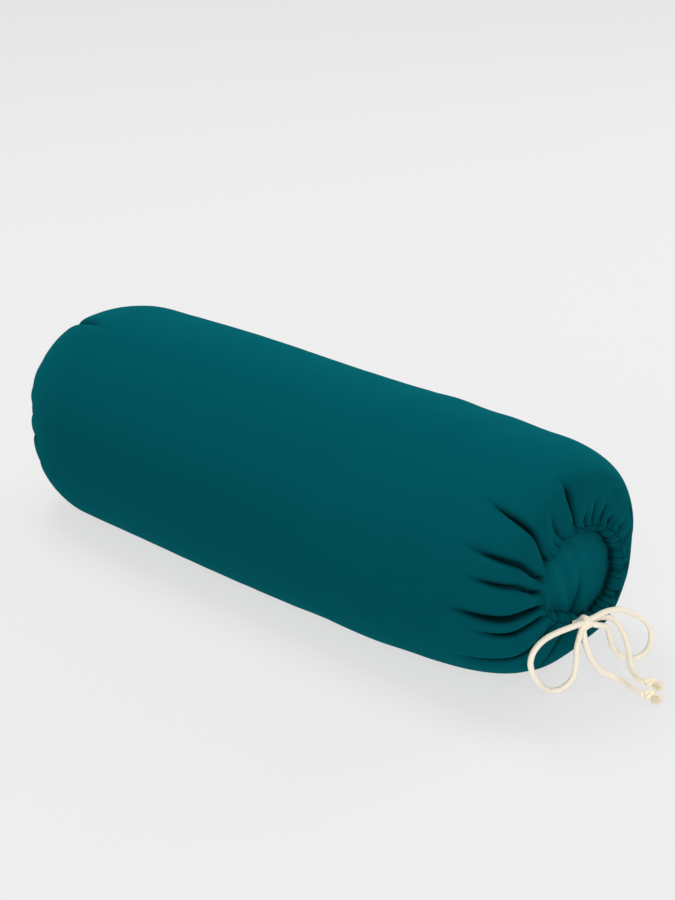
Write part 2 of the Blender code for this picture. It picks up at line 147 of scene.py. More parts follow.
def camera():
    lens = bpy.data.cameras.new("camera")
    lens.lens = 85
    lens.sensor_width = 36
    made = bpy.data.objects.new("camera", lens)
    bpy.context.scene.collection.objects.link(made)
    made.location = CAMERA_AT
    made.rotation_euler = (CAMERA_TO - CAMERA_AT).to_track_quat("-Z", "Y").to_euler()
    bpy.context.scene.camera = made


def floor():
    material = bpy.data.materials.new("floor")
    material.use_nodes = True
    shader = shader_of(material)
    shader.inputs["Base Color"].default_value = (*[FLOOR_LIT * c for c in BACKDROP], 1)
    shader.inputs["Roughness"].default_value = 0.95
    shader.inputs["Specular IOR Level"].default_value = 0.0
    shader.inputs["Emission Color"].default_value = (*BACKDROP, 1)
    shader.inputs["Emission Strength"].default_value = FLOOR_GLOW
    mesh = bpy.data.meshes.new("floor")
    reach = 12
    mesh.from_pydata([(-reach, -reach, 0), (reach, -reach, 0), (reach, reach, 0), (-reach, reach, 0)],
                     [], [(0, 1, 2, 3)])
    made = bpy.data.objects.new("floor", mesh)
    made.location.z = -0.0003
    mesh.materials.append(material)
    bpy.context.scene.collection.objects.link(made)


def area_light(name, place, size, power, colour=(1, 1, 1)):
    light = bpy.data.lights.new(name, "AREA")
    light.energy = power
    light.size = size
    light.color = colour
    made = bpy.data.objects.new(name, light)
    bpy.context.scene.collection.objects.link(made)
    made.location = place
    made.rotation_euler = (Vector((0, 0, 0.1)) - Vector(place)).to_track_quat("-Z", "Y").to_euler()


def lights():
    world = bpy.data.worlds.new("world")
    bpy.context.scene.world = world
    world.use_nodes = True
    world.node_tree.nodes["Background"].inputs["Color"].default_value = (0.845, 0.845, 0.85, 1)
    world.node_tree.nodes["Background"].inputs["Strength"].default_value = 0.58
    area_light("key", (-0.9, 0.1, 2.8), 1.2, 46)
    area_light("back", (0.6, 2.6, 1.5), 1.2, 30)
    area_light("front", (1.9, -2.3, 1.7), 1.6, 48)
    bpy.context.scene.view_settings.view_transform = "Standard"


camera()
floor()
lights()

# ---------------------------------------------------------------- tubes and grids


def distances(line):
    """Each point's distance from the first, along the line."""
    return np.concatenate([[0], np.cumsum(np.linalg.norm(np.diff(line, axis=0), axis=1))])


def smooth_route(points, step):
    """Evenly spaced points on the smooth curve through a route's own points."""
    control = np.array([Vector(p) for p in points], float)
    control = np.vstack([2 * control[0] - control[1], control, 2 * control[-1] - control[-2]])
    line = []
    for a, b, c, d in zip(control, control[1:], control[2:], control[3:]):
        for t in np.arange(0, 1, 0.04):
            line.append(0.5 * (2 * b + (c - a) * t + (2 * a - 5 * b + 4 * c - d) * t ** 2
                               + (3 * b - a - 3 * c + d) * t ** 3))
    line = np.array(line + [control[-2]])
    along = distances(line)
    at = np.linspace(0, along[-1], int(along[-1] / step) + 2)
    return np.stack([np.interp(at, along, line[:, k]) for k in range(3)], 1)


def frames(line):
    """Two directions across a line at each point, carried along it without twist."""
    ahead = np.gradient(line, axis=0)
    ahead /= np.linalg.norm(ahead, axis=1)[:, None]
    start = Vector(ahead[0]).orthogonal().normalized()
    side = [np.array(start)]
    for now in ahead[1:]:
        turned = side[-1] - now * (side[-1] @ now)
        side.append(turned / np.linalg.norm(turned))
    side = np.array(side)
    return side, np.cross(ahead, side)


class Shape:
    """Vertices, faces, weave coordinates and painted crease shade gathered for one mesh."""

    def __init__(self):
        self.points = []
        self.faces = []
        self.weave = []
        self.painted_shade = []
        self.count = 0

    def grid(self, points, weave, closed=True, skip=None, flat_weave=False, painted_shade=0.0):
        """Adds a grid of points. Weave holds each point's place on the cloth or cord, in metres. The last
        argument is painted shade, from 0 to 1, that darkens the cloth's colour.
        """
        rows, columns = points.shape[:2]
        start = self.count
        self.points.append(points.reshape(-1, 3))
        self.painted_shade.append((painted_shade + np.zeros((rows, columns))).ravel())
        self.count += rows * columns
        last = columns if closed else columns - 1
        row, column = np.meshgrid(np.arange(rows - 1), np.arange(last), indexing="ij")
        if skip is not None:
            keep = ~skip[: rows - 1, :last]
            row, column = row[keep], column[keep]
        row, column = row.ravel(), column.ravel()
        after = (column + 1) % columns
        corners = [(row, column), (row, after), (row + 1, after), (row + 1, column)]
        self.faces.append(np.stack([start + r * columns + c for r, c in corners], 1))
        wide = weave[0, 1, 0] - weave[0, 0, 0]
        places = [weave[r, c] for r, c in corners]
        wrapped = (column + 1 >= columns) & (not flat_weave)
        for k in (1, 2):
            places[k] = places[k].copy()
            places[k][wrapped, 0] = weave[0, 0, 0] + wide * columns
        self.weave.append(np.stack(places, 1))

    def cap(self, ring, outwards):
        """Closes a ring of points with a fan from its middle, moved outwards."""
        points = np.concatenate(self.points)
        middle = points[ring].mean(0) + outwards
        self.points.append(middle[None, :])
        self.painted_shade.append(np.zeros(1))
        centre = self.count
        self.count += 1
        following = np.roll(ring, -1)
        corners = np.stack([ring, following, np.full(len(ring), centre), np.full(len(ring), centre)], 1)
        self.faces.append(corners)
        self.weave.append(np.zeros((len(ring), 4, 2)))

    def build(self, name, material):
        faces = np.concatenate(self.faces)
        weave = np.concatenate(self.weave)
        points = np.concatenate(self.points)
        polygons, places = [], []
        for face, place in zip(faces.tolist(), weave.tolist()):
            if face[2] == face[3]:
                face, place = face[:3], place[:3]
            polygons.append(face)
            places.extend(place)
        mesh = bpy.data.meshes.new(name)
        mesh.from_pydata(points.tolist(), [], polygons)
        layer = mesh.uv_layers.new(name="weave")
        layer.data.foreach_set("uv", np.array(places, np.float32).ravel())
        # Painted shade per point, which the cloth material darkens its colour by
        painted_shade = mesh.attributes.new("painted_shade", "FLOAT", "POINT")
        painted_shade.data.foreach_set("value", np.concatenate(self.painted_shade).astype(np.float32))
        mesh.shade_smooth()
        made = bpy.data.objects.new(name, mesh)
        mesh.materials.append(material)
        bpy.context.scene.collection.objects.link(made)
        return made


def tube(shape, line, radius, sides, braid=0.0, taper=0.0):
    """Adds a round cord along a line. Braid is the height of its plaited relief."""
    across, up = frames(line)
    around = np.linspace(0, 2 * np.pi, sides, endpoint=False)
    along = distances(line)
    lay = 2 * np.pi * along[:, None] / (3.4 * CORD)
    strands = 8
    plait = np.cos(strands / 2 * around[None, :] + strands / 2 * lay)
    plait = plait * np.cos(strands / 2 * around[None, :] - strands / 2 * lay)
    end = np.minimum(along, along[-1] - along)
    fat = radius * (1 - taper * np.exp(-(end / radius) ** 2))
    reach = fat[:, None] + braid * plait
    ring = np.cos(around)[None, :, None] * across[:, None] + np.sin(around)[None, :, None] * up[:, None]
    points = line[:, None] + ring * reach[..., None]
    weave = np.stack(np.broadcast_arrays(around[None, :] * radius, along[:, None]), -1)
    first = shape.count
    shape.grid(points, weave)
    rows = len(line)
    ahead = (line[-1] - line[-2]) / np.linalg.norm(line[-1] - line[-2])
    behind = (line[0] - line[1]) / np.linalg.norm(line[0] - line[1])
    shape.cap(first + np.arange(sides)[::-1], behind * radius * 0.3)
    shape.cap(first + (rows - 1) * sides + np.arange(sides), ahead * radius * 0.3)

# ---------------------------------------------------------------- shape of the cover


def signed_power(value, power):
    return np.sign(value) * np.abs(value) ** power


def smooth_step(value):
    value = np.clip(value, 0, 1)
    return value * value * (3 - 2 * value)


def curl(share, power):
    angle = share * np.pi / 2
    return np.sin(angle) ** (2 / power), np.cos(angle) ** (2 / power)


def swell(x):
    """The cover's width at x, as a share of HALF_WIDTH, before PLUMP."""
    along = 2 * x / LENGTH
    return 1 - SLACK * (1 - along * along) + TAPER * along


def cover_section(x, share, angle):
    """The cover's cross-section at x: round above, squarer below, where the weight flattens it."""
    fat = swell(x)
    for middle, half, more in PLUMP:
        fat = fat + more * np.exp(-((x - middle) / half) ** 2)
    squarer = SAG_POWER + SAG_MIDDLE * np.exp(-(x / SAG_REACH) ** 2)
    sag = np.where(np.sin(angle) < 0, 2 / squarer, 1.0)
    reach = np.where(np.sin(angle) < 0, CENTRE_HEIGHT, HEIGHT - CENTRE_HEIGHT)
    y = share * fat * HALF_WIDTH * signed_power(np.cos(angle), sag)
    z = fat * CENTRE_HEIGHT + share * fat * reach * signed_power(np.sin(angle), sag)
    z = np.maximum(z, FLOOR_FLAT) - FLOOR_FLAT
    return np.stack([x + 0 * y, y, z], -1)


def mouth_reach(angle):
    """The smooth wave round the mouth that passes through MOUTH_REACH."""
    total = 0 * angle
    for k, reach in enumerate(MOUTH_REACH):
        turn = angle - k * np.pi / 4
        waves = 1 + 2 * (np.cos(turn) + np.cos(2 * turn) + np.cos(3 * turn)) + np.cos(4 * turn)
        total = total + reach * waves / 8
    return total


def mouth_ring(x, radius, angle):
    out = radius + mouth_reach(angle)
    y = out * np.cos(angle)
    z = NECK_HEIGHT + out * np.sin(angle)
    return np.stack([x + 0 * y, y, z], -1)


def spaced(points, step):
    """Rows of a table at even distances along its first two columns, closer than step."""
    points = np.array(points, float)
    leg = np.hypot(np.diff(points[:, 0]), np.diff(points[:, 1]))
    along = np.concatenate([[0], np.cumsum(leg)])
    count = max(2, int(along[-1] / step) + 1)
    at = np.linspace(0, along[-1], count)
    return np.stack([np.interp(at, along, column) for column in points.T], 1)


def mouth_profile():
    """Stations from the sleeve to the inside of the hem: x, radius, share, roundness about the neck."""
    rows = []
    for k in range(60):
        run, left = curl(k / 59, MOUTH_POWER)
        x = LENGTH / 2 - MOUTH_ROUND + MOUTH_ROUND * run
        share = MOUTH_SHARE + (1 - MOUTH_SHARE) * left
        rows.append((x, HALF_WIDTH * share * swell(x), share, 0.0))
    full = HALF_WIDTH * swell(LENGTH / 2)
    start = full * MOUTH_SHARE
    for k in range(1, 13):
        part = k / 12
        radius = start + (NECK_RADIUS - start) * part
        rows.append((LENGTH / 2 - NECK_DIP * smooth_step(part), radius, radius / full, 0.0))
    for k in range(1, 25):
        turn = math.radians(HEM_START + k * (HEM_STOP - HEM_START) / 24)
        x = HEM_X + HEM_TUBE * math.sin(turn)
        radius = HEM_RING + HEM_TUBE * math.cos(turn)
        rows.append((x, radius, radius / full, 1.0))
    return rows


def far_profile():
    """Stations from the end patch out to the sleeve: x, radius, share, roundness about the neck."""
    rows = []
    for part in np.linspace(0, 1, 8):
        share = FAR_SHARE * (PATCH_SHARE + (1 - PATCH_SHARE) * part)
        x = -LENGTH / 2 + 0.0016 * (1 - part) ** 2
        rows.append((x, HALF_WIDTH * share * swell(x), share, 0.0))
    for k in range(48, -1, -1):
        run, left = curl(k / 48, FAR_POWER)
        x = -(LENGTH / 2 - FAR_ROUND + FAR_ROUND * run)
        share = FAR_SHARE + (1 - FAR_SHARE) * left
        rows.append((x, HALF_WIDTH * share * swell(x), share, 0.0))
    return rows[:8] + rows[9:]


def surface(profile, angles):
    """Grid of points: a row for each station and a column for each angle."""
    x, radius, share, circle = [column[:, None] for column in profile.T]
    flat = cover_section(x, share, angles[None, :])
    ring = mouth_ring(x, radius, angles[None, :])
    return flat + circle[..., None] * (ring - flat)


def outward(grid):
    """Unit normals of a grid that closes on itself round X, pointing away from the filling."""
    wrapped = np.concatenate([grid[:, -1:], grid, grid[:, :1]], 1)
    around = wrapped[:, 2:] - wrapped[:, :-2]
    along = np.gradient(grid, axis=0)
    normal = np.cross(around, along)
    return normal / (np.linalg.norm(normal, axis=2)[..., None] + 1e-12)


def ripple(u, v, seed, length, count=14):
    """Smooth random waves of about that length over two coordinates, from -1 to 1 or so."""
    draw = np.random.RandomState(seed)
    total = 0 * u
    for _ in range(count):
        way = draw.uniform(0, 2 * np.pi)
        pitch = 2 * np.pi / (length * draw.uniform(0.7, 1.6))
        total = total + np.sin(pitch * (u * np.cos(way) + v * np.sin(way)) + draw.uniform(0, 2 * np.pi))
    return total * (2 / count) ** 0.5


# Folds: angle where it starts, angle where it fades, length, depth, width where it fades
MOUTH_FOLDS = [
    (92, 103, 0.060, 0.0135, 0.0064), (119, 122, 0.046, 0.0050, 0.0060), (147, 131, 0.102, 0.0230, 0.0022),
    (163, 156, 0.106, 0.0170, 0.0042), (177, 171, 0.100, 0.0170, 0.0032), (194, 184, 0.124, 0.0190, 0.0034),
    (210, 191, 0.104, 0.0130, 0.0036), (233, 211, 0.122, 0.0150, 0.0036), (260, 247, 0.078, 0.0110, 0.0040),
    (284, 281, 0.060, 0.0090, 0.0050), (303, 309, 0.056, 0.0080, 0.0055), (322, 327, 0.040, 0.0070, 0.0060),
    (343, 346, 0.040, 0.0070, 0.0060), (2, 5, 0.032, 0.0060, 0.0055), (21, 17, 0.022, 0.0080, 0.0030),
    (36, 36, 0.016, 0.0150, 0.0020), (49, 51, 0.024, 0.0170, 0.0020), (65, 67, 0.024, 0.0170, 0.0020),
    (79, 80, 0.014, 0.0130, 0.0018),
]
# The same for the far end, where the gathers start at the end patch
FAR_OWN_FOLDS = [
    (94, 111, 0.124, 0.0115, 0.0030), (183, 177, 0.080, 0.0050, 0.0030), (194, 185, 0.090, 0.0080, 0.0032),
    (211, 200, 0.092, 0.0060, 0.0036),
]
# How many random folds lie between them
SMALL_FOLDS = 30
FAR_FOLDS = 26
# Creases across the gathers: first angle, last angle, distance from the hem, depth, width
RIM_CREASES = [
    (2, 31, 0.036, 0.0045, 0.0015), (-30, -4, 0.026, 0.0030, 0.0018), (38, 62, 0.029, 0.0014, 0.0026),
    (196, 210, 0.040, 0.0015, 0.0030), (100, 116, 0.030, 0.0016, 0.0030),
]
# The grid of the cover: points round it, and steps along the mouth and the far end
AROUND = 800
MOUTH_STEP = 0.0011
FAR_STEP = 0.0018
# How far back from the neck the cover's section turns into a ring
MORPH = 0.046
# Within about NEAR_HEM of the hem a fold is at most HEM_DEPTH deep
HEM_DEPTH = 0.0042
NEAR_HEM = 0.009
# The folds take their depth out of the cloth, which stands further out for it, by this at most
LIFT_MOST = 0.0018
# How far a fold's floor shifts to one side, as a share of its depth
LEAN = 0.30
# How deep a crease has to be, at the mouth and at the far end, to get its full painted shade
FULL_SHADE_DEPTH = 0.0055
FAR_FULL_SHADE_DEPTH = 0.008
# The hem's pleats: how many, and how high
PLEATS = 64
PLEAT_HIGH = 0.0019
# The tucks where the gathers meet the hem: how many, how high, and where and how long they are
TUCKS = 27
TUCK_HIGH = 0.0022
TUCK_BACK = 0.003
TUCK_LONG = 0.011


def fold_depths(folds, along, angles, radius, narrow):
    """How deep the folds go: sharp at the gathered edge, wider and shallower as they fade."""
    depth = np.zeros((len(along), len(angles)))
    for start, stop, length, deep, wide in folds:
        part = np.clip(along / length, 0, 1)
        middle = np.radians(start + (stop - start) * part ** 0.6)
        turn = (angles[None, :] - middle[:, None] + np.pi) % (2 * np.pi) - np.pi
        aside = turn * radius[:, None]
        width = (narrow + (wide - narrow) * part ** 1.3)[:, None]
        soft = 0.22 * width
        shape = np.exp(-(np.sqrt(aside ** 2 + soft ** 2) - soft) / width)
        depth += (deep * (1 - smooth_step((part - 0.25) / 0.75)))[:, None] * shape
    return depth


def small_folds(seed, count, shortest, longest, deepest, wide):
    draw = np.random.RandomState(seed)
    made = []
    for k in range(count):
        start = 360 * (k + draw.uniform(-0.4, 0.4)) / count
        length = draw.uniform(shortest, longest)
        made.append((start, start + draw.uniform(-5, 5), length, deepest * draw.uniform(0.4, 1.0), wide))
    return made


def ruches(angles, count, seed):
    """Fine uneven pleats round a drawn hem, from -1.2 in a sharp crease to 0.8 on a round crest."""
    waves = count * angles + 1.3 * np.sin(3 * angles + seed) + 0.9 * np.sin(7 * angles + 2 * seed)
    height = 0.75 + 0.25 * np.sin(5 * angles + seed) * np.sin(11 * angles)
    return height * (2 * np.abs(np.sin(waves / 2)) ** 0.7 - 1.2)


def rim_creases(outside, angles):
    """How deep the short creases go that run round the mouth rather than into it."""
    depth = np.zeros((len(outside), len(angles)))
    for first, last, away, deep, wide in RIM_CREASES:
        middle = math.radians((first + last) / 2)
        half = math.radians(last - first) / 2
        turn = ((angles - middle + np.pi) % (2 * np.pi) - np.pi) / half
        window = smooth_step(1 - np.abs(turn))
        bowed = away + 0.004 * turn ** 2
        apart = np.abs(outside[:, None] - bowed[None, :])
        depth += deep * window[None, :] * np.exp(-apart / wide)
    return depth


def mean_near(depth):
    """The mean depth over the columns on both sides of each one."""
    total = 0 * depth
    for shift in range(-18, 19, 3):
        total += np.roll(depth, shift, 1)
    return total / 13


def mouth_folds(outside, angles, radius):
    """Depth of the mouth's folds at a distance from the neck, and how near the hem each row is."""
    depth = fold_depths(MOUTH_FOLDS, outside, angles, radius, 0.0015)
    random_folds = small_folds(5, SMALL_FOLDS, 0.008, 0.024, 0.0026, 0.0034)
    depth += fold_depths(random_folds, outside, angles, radius, 0.0013)
    depth += rim_creases(outside, angles)
    near = np.exp(-(outside / NEAR_HEM) ** 2)[:, None]
    return depth * (1 - near) + near * HEM_DEPTH * np.tanh(depth / HEM_DEPTH), near


def hem_pleats(along, outside, angles):
    """Height of the hem's pleats and tucks, and the painted shade on its inner side and between tucks."""
    side = 0.45 + 0.55 * smooth_step((np.cos(angles - np.radians(12)) + 0.55) / 0.9)
    reach = np.where(along > 0, np.exp(-outside / 0.005), 1.0)
    pleats = PLEAT_HIGH * reach[:, None] * side[None, :] * ruches(angles, PLEATS, 1.7)[None, :]
    top = 0.45 + 0.55 * np.exp(-((np.degrees(angles) - 50) / 45) ** 2)
    lumps = np.exp(-((along - TUCK_BACK) / TUCK_LONG) ** 2)[:, None] * top[None, :]
    tucks = ruches(angles + 0.15, TUCKS, 4.1)[None, :]
    pleats += TUCK_HIGH * lumps * tucks
    # Painted shade on the hem's inner side, which faces away from the light, and between the tucks
    inside = smooth_step((-along - 0.0060) / 0.0095)[:, None] * (0.25 + 0.65 * side[None, :])
    tuck_gap_shade = np.clip(1.5 * (-0.25 - tucks), 0, 0.95) * lumps ** 2
    return pleats, inside, tuck_gap_shade


def leaning(grid, depth, outside):
    """The step sideways that makes the folds' two sides unequal, as in cloth that lies over itself."""
    lean = LEAN * (depth - depth.mean(1)[:, None]) * smooth_step(outside / 0.012)[:, None]
    aside = np.roll(grid, -1, 1) - np.roll(grid, 1, 1)
    aside = aside / np.linalg.norm(aside, axis=2)[..., None]
    return aside * lean[..., None]


def mouth_cloth(angles):
    """The cover from the sleeve to the inside of the hem: its points, the neck's row and its painted shade in
    the creases.
    """
    profile = spaced(mouth_profile(), MOUTH_STEP)
    x, radius, _, circle = profile.T
    arc = np.concatenate([[0], np.cumsum(np.hypot(np.diff(x), np.diff(radius)))])
    neck = int(np.argmax(circle >= 1))
    along = arc[neck] - arc
    outside = np.maximum(along, 0)
    profile[:, 3] = smooth_step(1 - along / MORPH)
    grid = surface(profile, angles)
    normal = outward(grid)
    depth, near = mouth_folds(outside, angles, radius)
    pleats, inside, tuck_gap_shade = hem_pleats(along, outside, angles)
    lift = np.minimum(0.6 * depth.mean(1), LIFT_MOST)[:, None]
    u = 0.115 * angles[None, :] + 0 * along[:, None]
    v = along[:, None] + 0 * u
    soft = 0.0004 * ripple(u, v, 11, 0.075) * smooth_step(outside / 0.02)[:, None]
    sideways = leaning(grid, depth, outside)
    grid = grid + normal * (lift + pleats + soft - depth)[..., None] + sideways
    # Painted shade: darker in the deep folds, between the hem's pleats, between its tucks and on its inner
    # side
    painted_shade = np.clip((depth - 0.35 * mean_near(depth)) / FULL_SHADE_DEPTH, 0, 1) ** 1.9
    pleat_gap_shade = np.clip(1.3 * (-0.08 - pleats / PLEAT_HIGH), 0, 0.92) * near
    for darker in (pleat_gap_shade, inside, tuck_gap_shade):
        painted_shade = np.maximum(painted_shade, darker)
    return grid, neck, painted_shade


def far_cloth(angles):
    """The cover from the end patch out to the sleeve, with its gathers: its points and its painted shade in
    the folds.
    """
    profile = spaced(far_profile(), FAR_STEP)
    x, radius = profile.T[:2]
    arc = np.concatenate([[0], np.cumsum(np.hypot(np.diff(x), np.diff(radius)))])
    grid = surface(profile, angles)
    normal = outward(grid)
    folds = FAR_OWN_FOLDS + small_folds(21, FAR_FOLDS, 0.030, 0.072, 0.0075, 0.0060)
    folds += small_folds(8, 2 * FAR_FOLDS, 0.012, 0.030, 0.0030, 0.0040)
    depth = fold_depths(folds, arc, angles, radius, 0.0020)
    lift = 0.5 * depth.mean(1)[:, None]
    grid = grid + normal * (lift - depth)[..., None]
    return grid, np.clip(depth / FAR_FULL_SHADE_DEPTH, 0, 1)


# ---------------------------------------------------------------- cloth and cotton


def mesh_material(name):
    made = bpy.data.materials.new(name)
    made.use_nodes = True
    return made


TEAL = (0.0005, 0.067, 0.083)
# How far the painted shade in the creases takes the cloth's colour towards near black
PAINTED_SHADE_STRENGTH = 0.9


class Nodes:
    """Short ways to add and join a material's nodes."""

    def __init__(self, material):
        self.tree = material.node_tree
        self.shader = shader_of(material)

    def add(self, kind, settings=(), **inputs):
        node = self.tree.nodes.new(kind)
        for key, value in dict(settings).items():
            setattr(node, key, value)
        for key, value in inputs.items():
            self.feed(node, key.replace("_", " "), value)
        return node

    def feed(self, node, socket, value):
        if isinstance(value, bpy.types.NodeSocket):
            self.tree.links.new(value, node.inputs[socket])
        else:
            node.inputs[socket].default_value = value

    def maths(self, operation, first, second=0.0):
        node = self.tree.nodes.new("ShaderNodeMath")
        node.operation = operation
        self.feed(node, 0, first)
        self.feed(node, 1, second)
        return node.outputs[0]

    def mixed(self, share, first, second):
        node = self.tree.nodes.new("ShaderNodeMix")
        node.data_type = "RGBA"
        self.feed(node, 0, share)
        self.feed(node, 6, first)
        self.feed(node, 7, second)
        return node.outputs[2]

    def noise(self, place, scale, detail):
        return self.add("ShaderNodeTexNoise", Vector=place, Scale=scale, Detail=detail).outputs["Fac"]

    def bump(self, height, strength, distance):
        made = self.add("ShaderNodeBump", Height=height, Strength=strength, Distance=distance)
        self.feed(self.shader, "Normal", made.outputs[0])

    def weave_place(self):
        return self.add("ShaderNodeUVMap", {"uv_map": "weave"}).outputs["UV"]


def cloth_material(name, colour, pitch=0.0008, streak=0.09, sheen=0.13):
    """Cotton twill: slanting ribs of yarn, slubs along the yarn, worn light and dark patches, and painted
    shade in the creases.
    """
    made = mesh_material(name)
    n = Nodes(made)
    place = n.weave_place()
    split = n.add("ShaderNodeSeparateXYZ", Vector=place)
    across, along = split.outputs["X"], split.outputs["Y"]
    slant = n.maths("ADD", across, n.maths("MULTIPLY", along, 0.8))
    rib = n.maths("SINE", n.maths("MULTIPLY", slant, 2 * math.pi / pitch))
    yarn = n.maths("SINE", n.maths("MULTIPLY", along, 2 * math.pi / (0.55 * pitch)))
    weave = n.maths("ADD", n.maths("MULTIPLY", rib, 0.6), n.maths("MULTIPLY", yarn, 0.4))
    long_way = n.add("ShaderNodeMapping", Vector=place)
    long_way.inputs["Scale"].default_value = (900, 26, 1)
    slub = n.noise(long_way.outputs[0], 1.0, 2.0)
    patch = n.noise(place, 9.0, 3.0)
    fuzz = n.noise(place, 420.0, 2.0)
    dark = (*[c * (1 - streak) for c in colour], 1)
    light = (*[c * (1 + streak) for c in colour], 1)
    worn = (*[c * 1.12 for c in colour], 1)
    base = n.mixed(slub, dark, light)
    base = n.mixed(n.maths("MULTIPLY", patch, 0.5), base, worn)
    # Painted shade: where the crease attribute is high, the colour goes towards near black
    painted_shade = n.add("ShaderNodeAttribute", {"attribute_name": "painted_shade"}).outputs["Fac"]
    deep = (*[c * 0.05 for c in colour], 1)
    base = n.mixed(n.maths("MULTIPLY", painted_shade, PAINTED_SHADE_STRENGTH), base, deep)
    n.feed(n.shader, "Base Color", base)
    rough = n.maths("ADD", 0.80, n.maths("MULTIPLY", fuzz, 0.14))
    n.feed(n.shader, "Roughness", rough)
    n.feed(n.shader, "Sheen Weight", sheen)
    n.feed(n.shader, "Sheen Roughness", 0.45)
    n.feed(n.shader, "Sheen Tint", (0.03, 0.62, 0.68, 1))
    n.feed(n.shader, "Specular IOR Level", 0.0)
    height = n.maths("ADD", n.maths("MULTIPLY", weave, 0.5), n.maths("MULTIPLY", fuzz, 0.8))
    n.bump(height, 0.35, 0.0002)
    return made


def cotton_material(name, crest, crease):
    """Undyed plaited cotton: cream, with painted shade between the strands, and fluffy all over."""
    made = mesh_material(name)
    n = Nodes(made)
    place = n.weave_place()
    split = n.add("ShaderNodeSeparateXYZ", Vector=place)
    turn = n.maths("MULTIPLY", split.outputs["X"], 4 / (CORD / 2))
    lay = n.maths("MULTIPLY", split.outputs["Y"], 4 * 2 * math.pi / (3.4 * CORD))
    first = n.maths("COSINE", n.maths("ADD", turn, lay))
    second = n.maths("COSINE", n.maths("SUBTRACT", turn, lay))
    plait = n.maths("MULTIPLY", first, second)
    fluff = n.noise(place, 900.0, 3.0)
    mottle = n.noise(place, 60.0, 2.0)
    # Painted shade between the strands: towards the second, shaded cream
    gap = n.maths("MULTIPLY", n.maths("SUBTRACT", 1.0, plait), 0.30)
    base = n.mixed(gap, crest, crease)
    base = n.mixed(n.maths("MULTIPLY", mottle, 0.30), base, (0.95, 0.85, 0.66, 1))
    n.feed(n.shader, "Base Color", base)
    n.feed(n.shader, "Roughness", n.maths("ADD", 0.82, n.maths("MULTIPLY", fluff, 0.12)))
    n.feed(n.shader, "Sheen Weight", 0.25)
    n.feed(n.shader, "Sheen Roughness", 0.5)
    height = n.maths("ADD", n.maths("MULTIPLY", plait, 0.8), fluff)
    n.bump(height, 0.5, 0.0002)
    return made


cover_look = cloth_material("cover_cloth", TEAL)
# The inner pillow's cloth is the cover's teal made 1.3 times lighter: painted light that makes up for the
# shade inside the mouth
inner_look = cloth_material("inner_cloth", [1.30 * c for c in TEAL], pitch=0.0007)
# Each cord's second cream is its painted shade between the strands
cotton_look = cotton_material("cotton_cord", (1.0, 0.94, 0.80, 1), (0.86, 0.74, 0.56, 1))
tuft_look = cotton_material("cotton_tuft", (1.0, 0.92, 0.70, 1), (0.92, 0.80, 0.54, 1))


# ---------------------------------------------------------------- cover


def weave_of(arc, angles, width):
    """Each grid point's place on the flat cloth: across the tube, then along it."""
    return np.stack(np.broadcast_arrays(angles[None, :] * width, arc[:, None]), -1)


def thicken(piece, wall):
    made = piece.modifiers.new("thickness", "SOLIDIFY")
    made.thickness = wall
    made.offset = -1
    return piece


def soft_part(piece, slot, *nodes):
    """A piece fixed to the cover's body with its own copy of its mesh; the CAD nodes that it stands in for are
    hidden.
    """
    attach(piece, "cover")
    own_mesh(piece)
    if nodes:
        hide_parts(*nodes)
    return piece


def sleeve_between(far_edge, mouth_edge, angles):
    """The plain sleeve, whose first and last rows run on from the two gathered ends."""
    x = np.linspace(far_edge[:, 0].mean(), mouth_edge[:, 0].mean(), 62)[1:-1]
    part = (x - x[0]) / (x[-1] - x[0])
    sleeve = cover_section(x[:, None], np.ones_like(x)[:, None], angles[None, :])
    for edge, fade in ((far_edge, smooth_step(1 - 8 * part)), (mouth_edge, smooth_step(8 * part - 7))):
        step = edge - cover_section(edge[:, 0], 1.0, angles)
        sleeve += fade[:, None, None] * step[None]
    return sleeve


def row_arc(grid):
    """Mean distance of each row of a grid from the first, along the cloth."""
    legs = np.linalg.norm(np.diff(grid, axis=0), axis=2).mean(1)
    return np.concatenate([[0], np.cumsum(legs)])


def cover():
    """One cloth from the far gathers to the groove of the hem, then the hem itself."""
    angles = np.linspace(0, 2 * np.pi, AROUND, endpoint=False) + np.pi / AROUND
    far, far_painted_shade = far_cloth(angles)
    mouth, neck, mouth_painted_shade = mouth_cloth(angles)
    sleeve = sleeve_between(far[-1], mouth[0], angles)
    grid = np.concatenate([far, sleeve, mouth])
    # Painted crease shade of the far end and the mouth; the plain sleeve gets none
    painted_shade = np.concatenate([far_painted_shade, 0 * sleeve[..., 0], mouth_painted_shade])
    arc = row_arc(grid)
    normal = outward(grid)
    u = HALF_WIDTH * angles[None, :] + 0 * arc[:, None]
    v = arc[:, None] + 0 * u
    calm = smooth_step((grid[..., 0] + LENGTH / 2 + 0.002) / 0.03)
    calm = calm * smooth_step((LENGTH / 2 - 0.010 - grid[..., 0]) / 0.03)
    grid = grid + normal * (0.00025 * ripple(u, 0.4 * v, 3, 0.12) * calm)[..., None]
    grid = grid + normal * (0.00006 * ripple(u, v, 4, 0.030) * calm)[..., None]
    grid[..., 2] = np.maximum(grid[..., 2], 0.0002)
    weave = weave_of(arc, angles, HALF_WIDTH)
    split = len(grid) - len(mouth) + neck
    cloth = Shape()
    cloth.grid(grid[: split + 2], weave[: split + 2], painted_shade=painted_shade[: split + 2])
    cover_cloth = cloth.build("cover_cloth", cover_look)
    thicken(cover_cloth, CLOTH)
    soft_part(cover_cloth, "cover_cloth", "cover_sleeve", "cover_far_gather", "cover_mouth_gather")
    hem = Shape()
    hem.grid(grid[split:], weave[split:], painted_shade=painted_shade[split:])
    hem_piece = thicken(hem.build("drawstring_hem", cover_look), CLOTH)
    soft_part(hem_piece, "cover_cloth", "drawstring_channel")


# ---------------------------------------------------------------- inner pillow


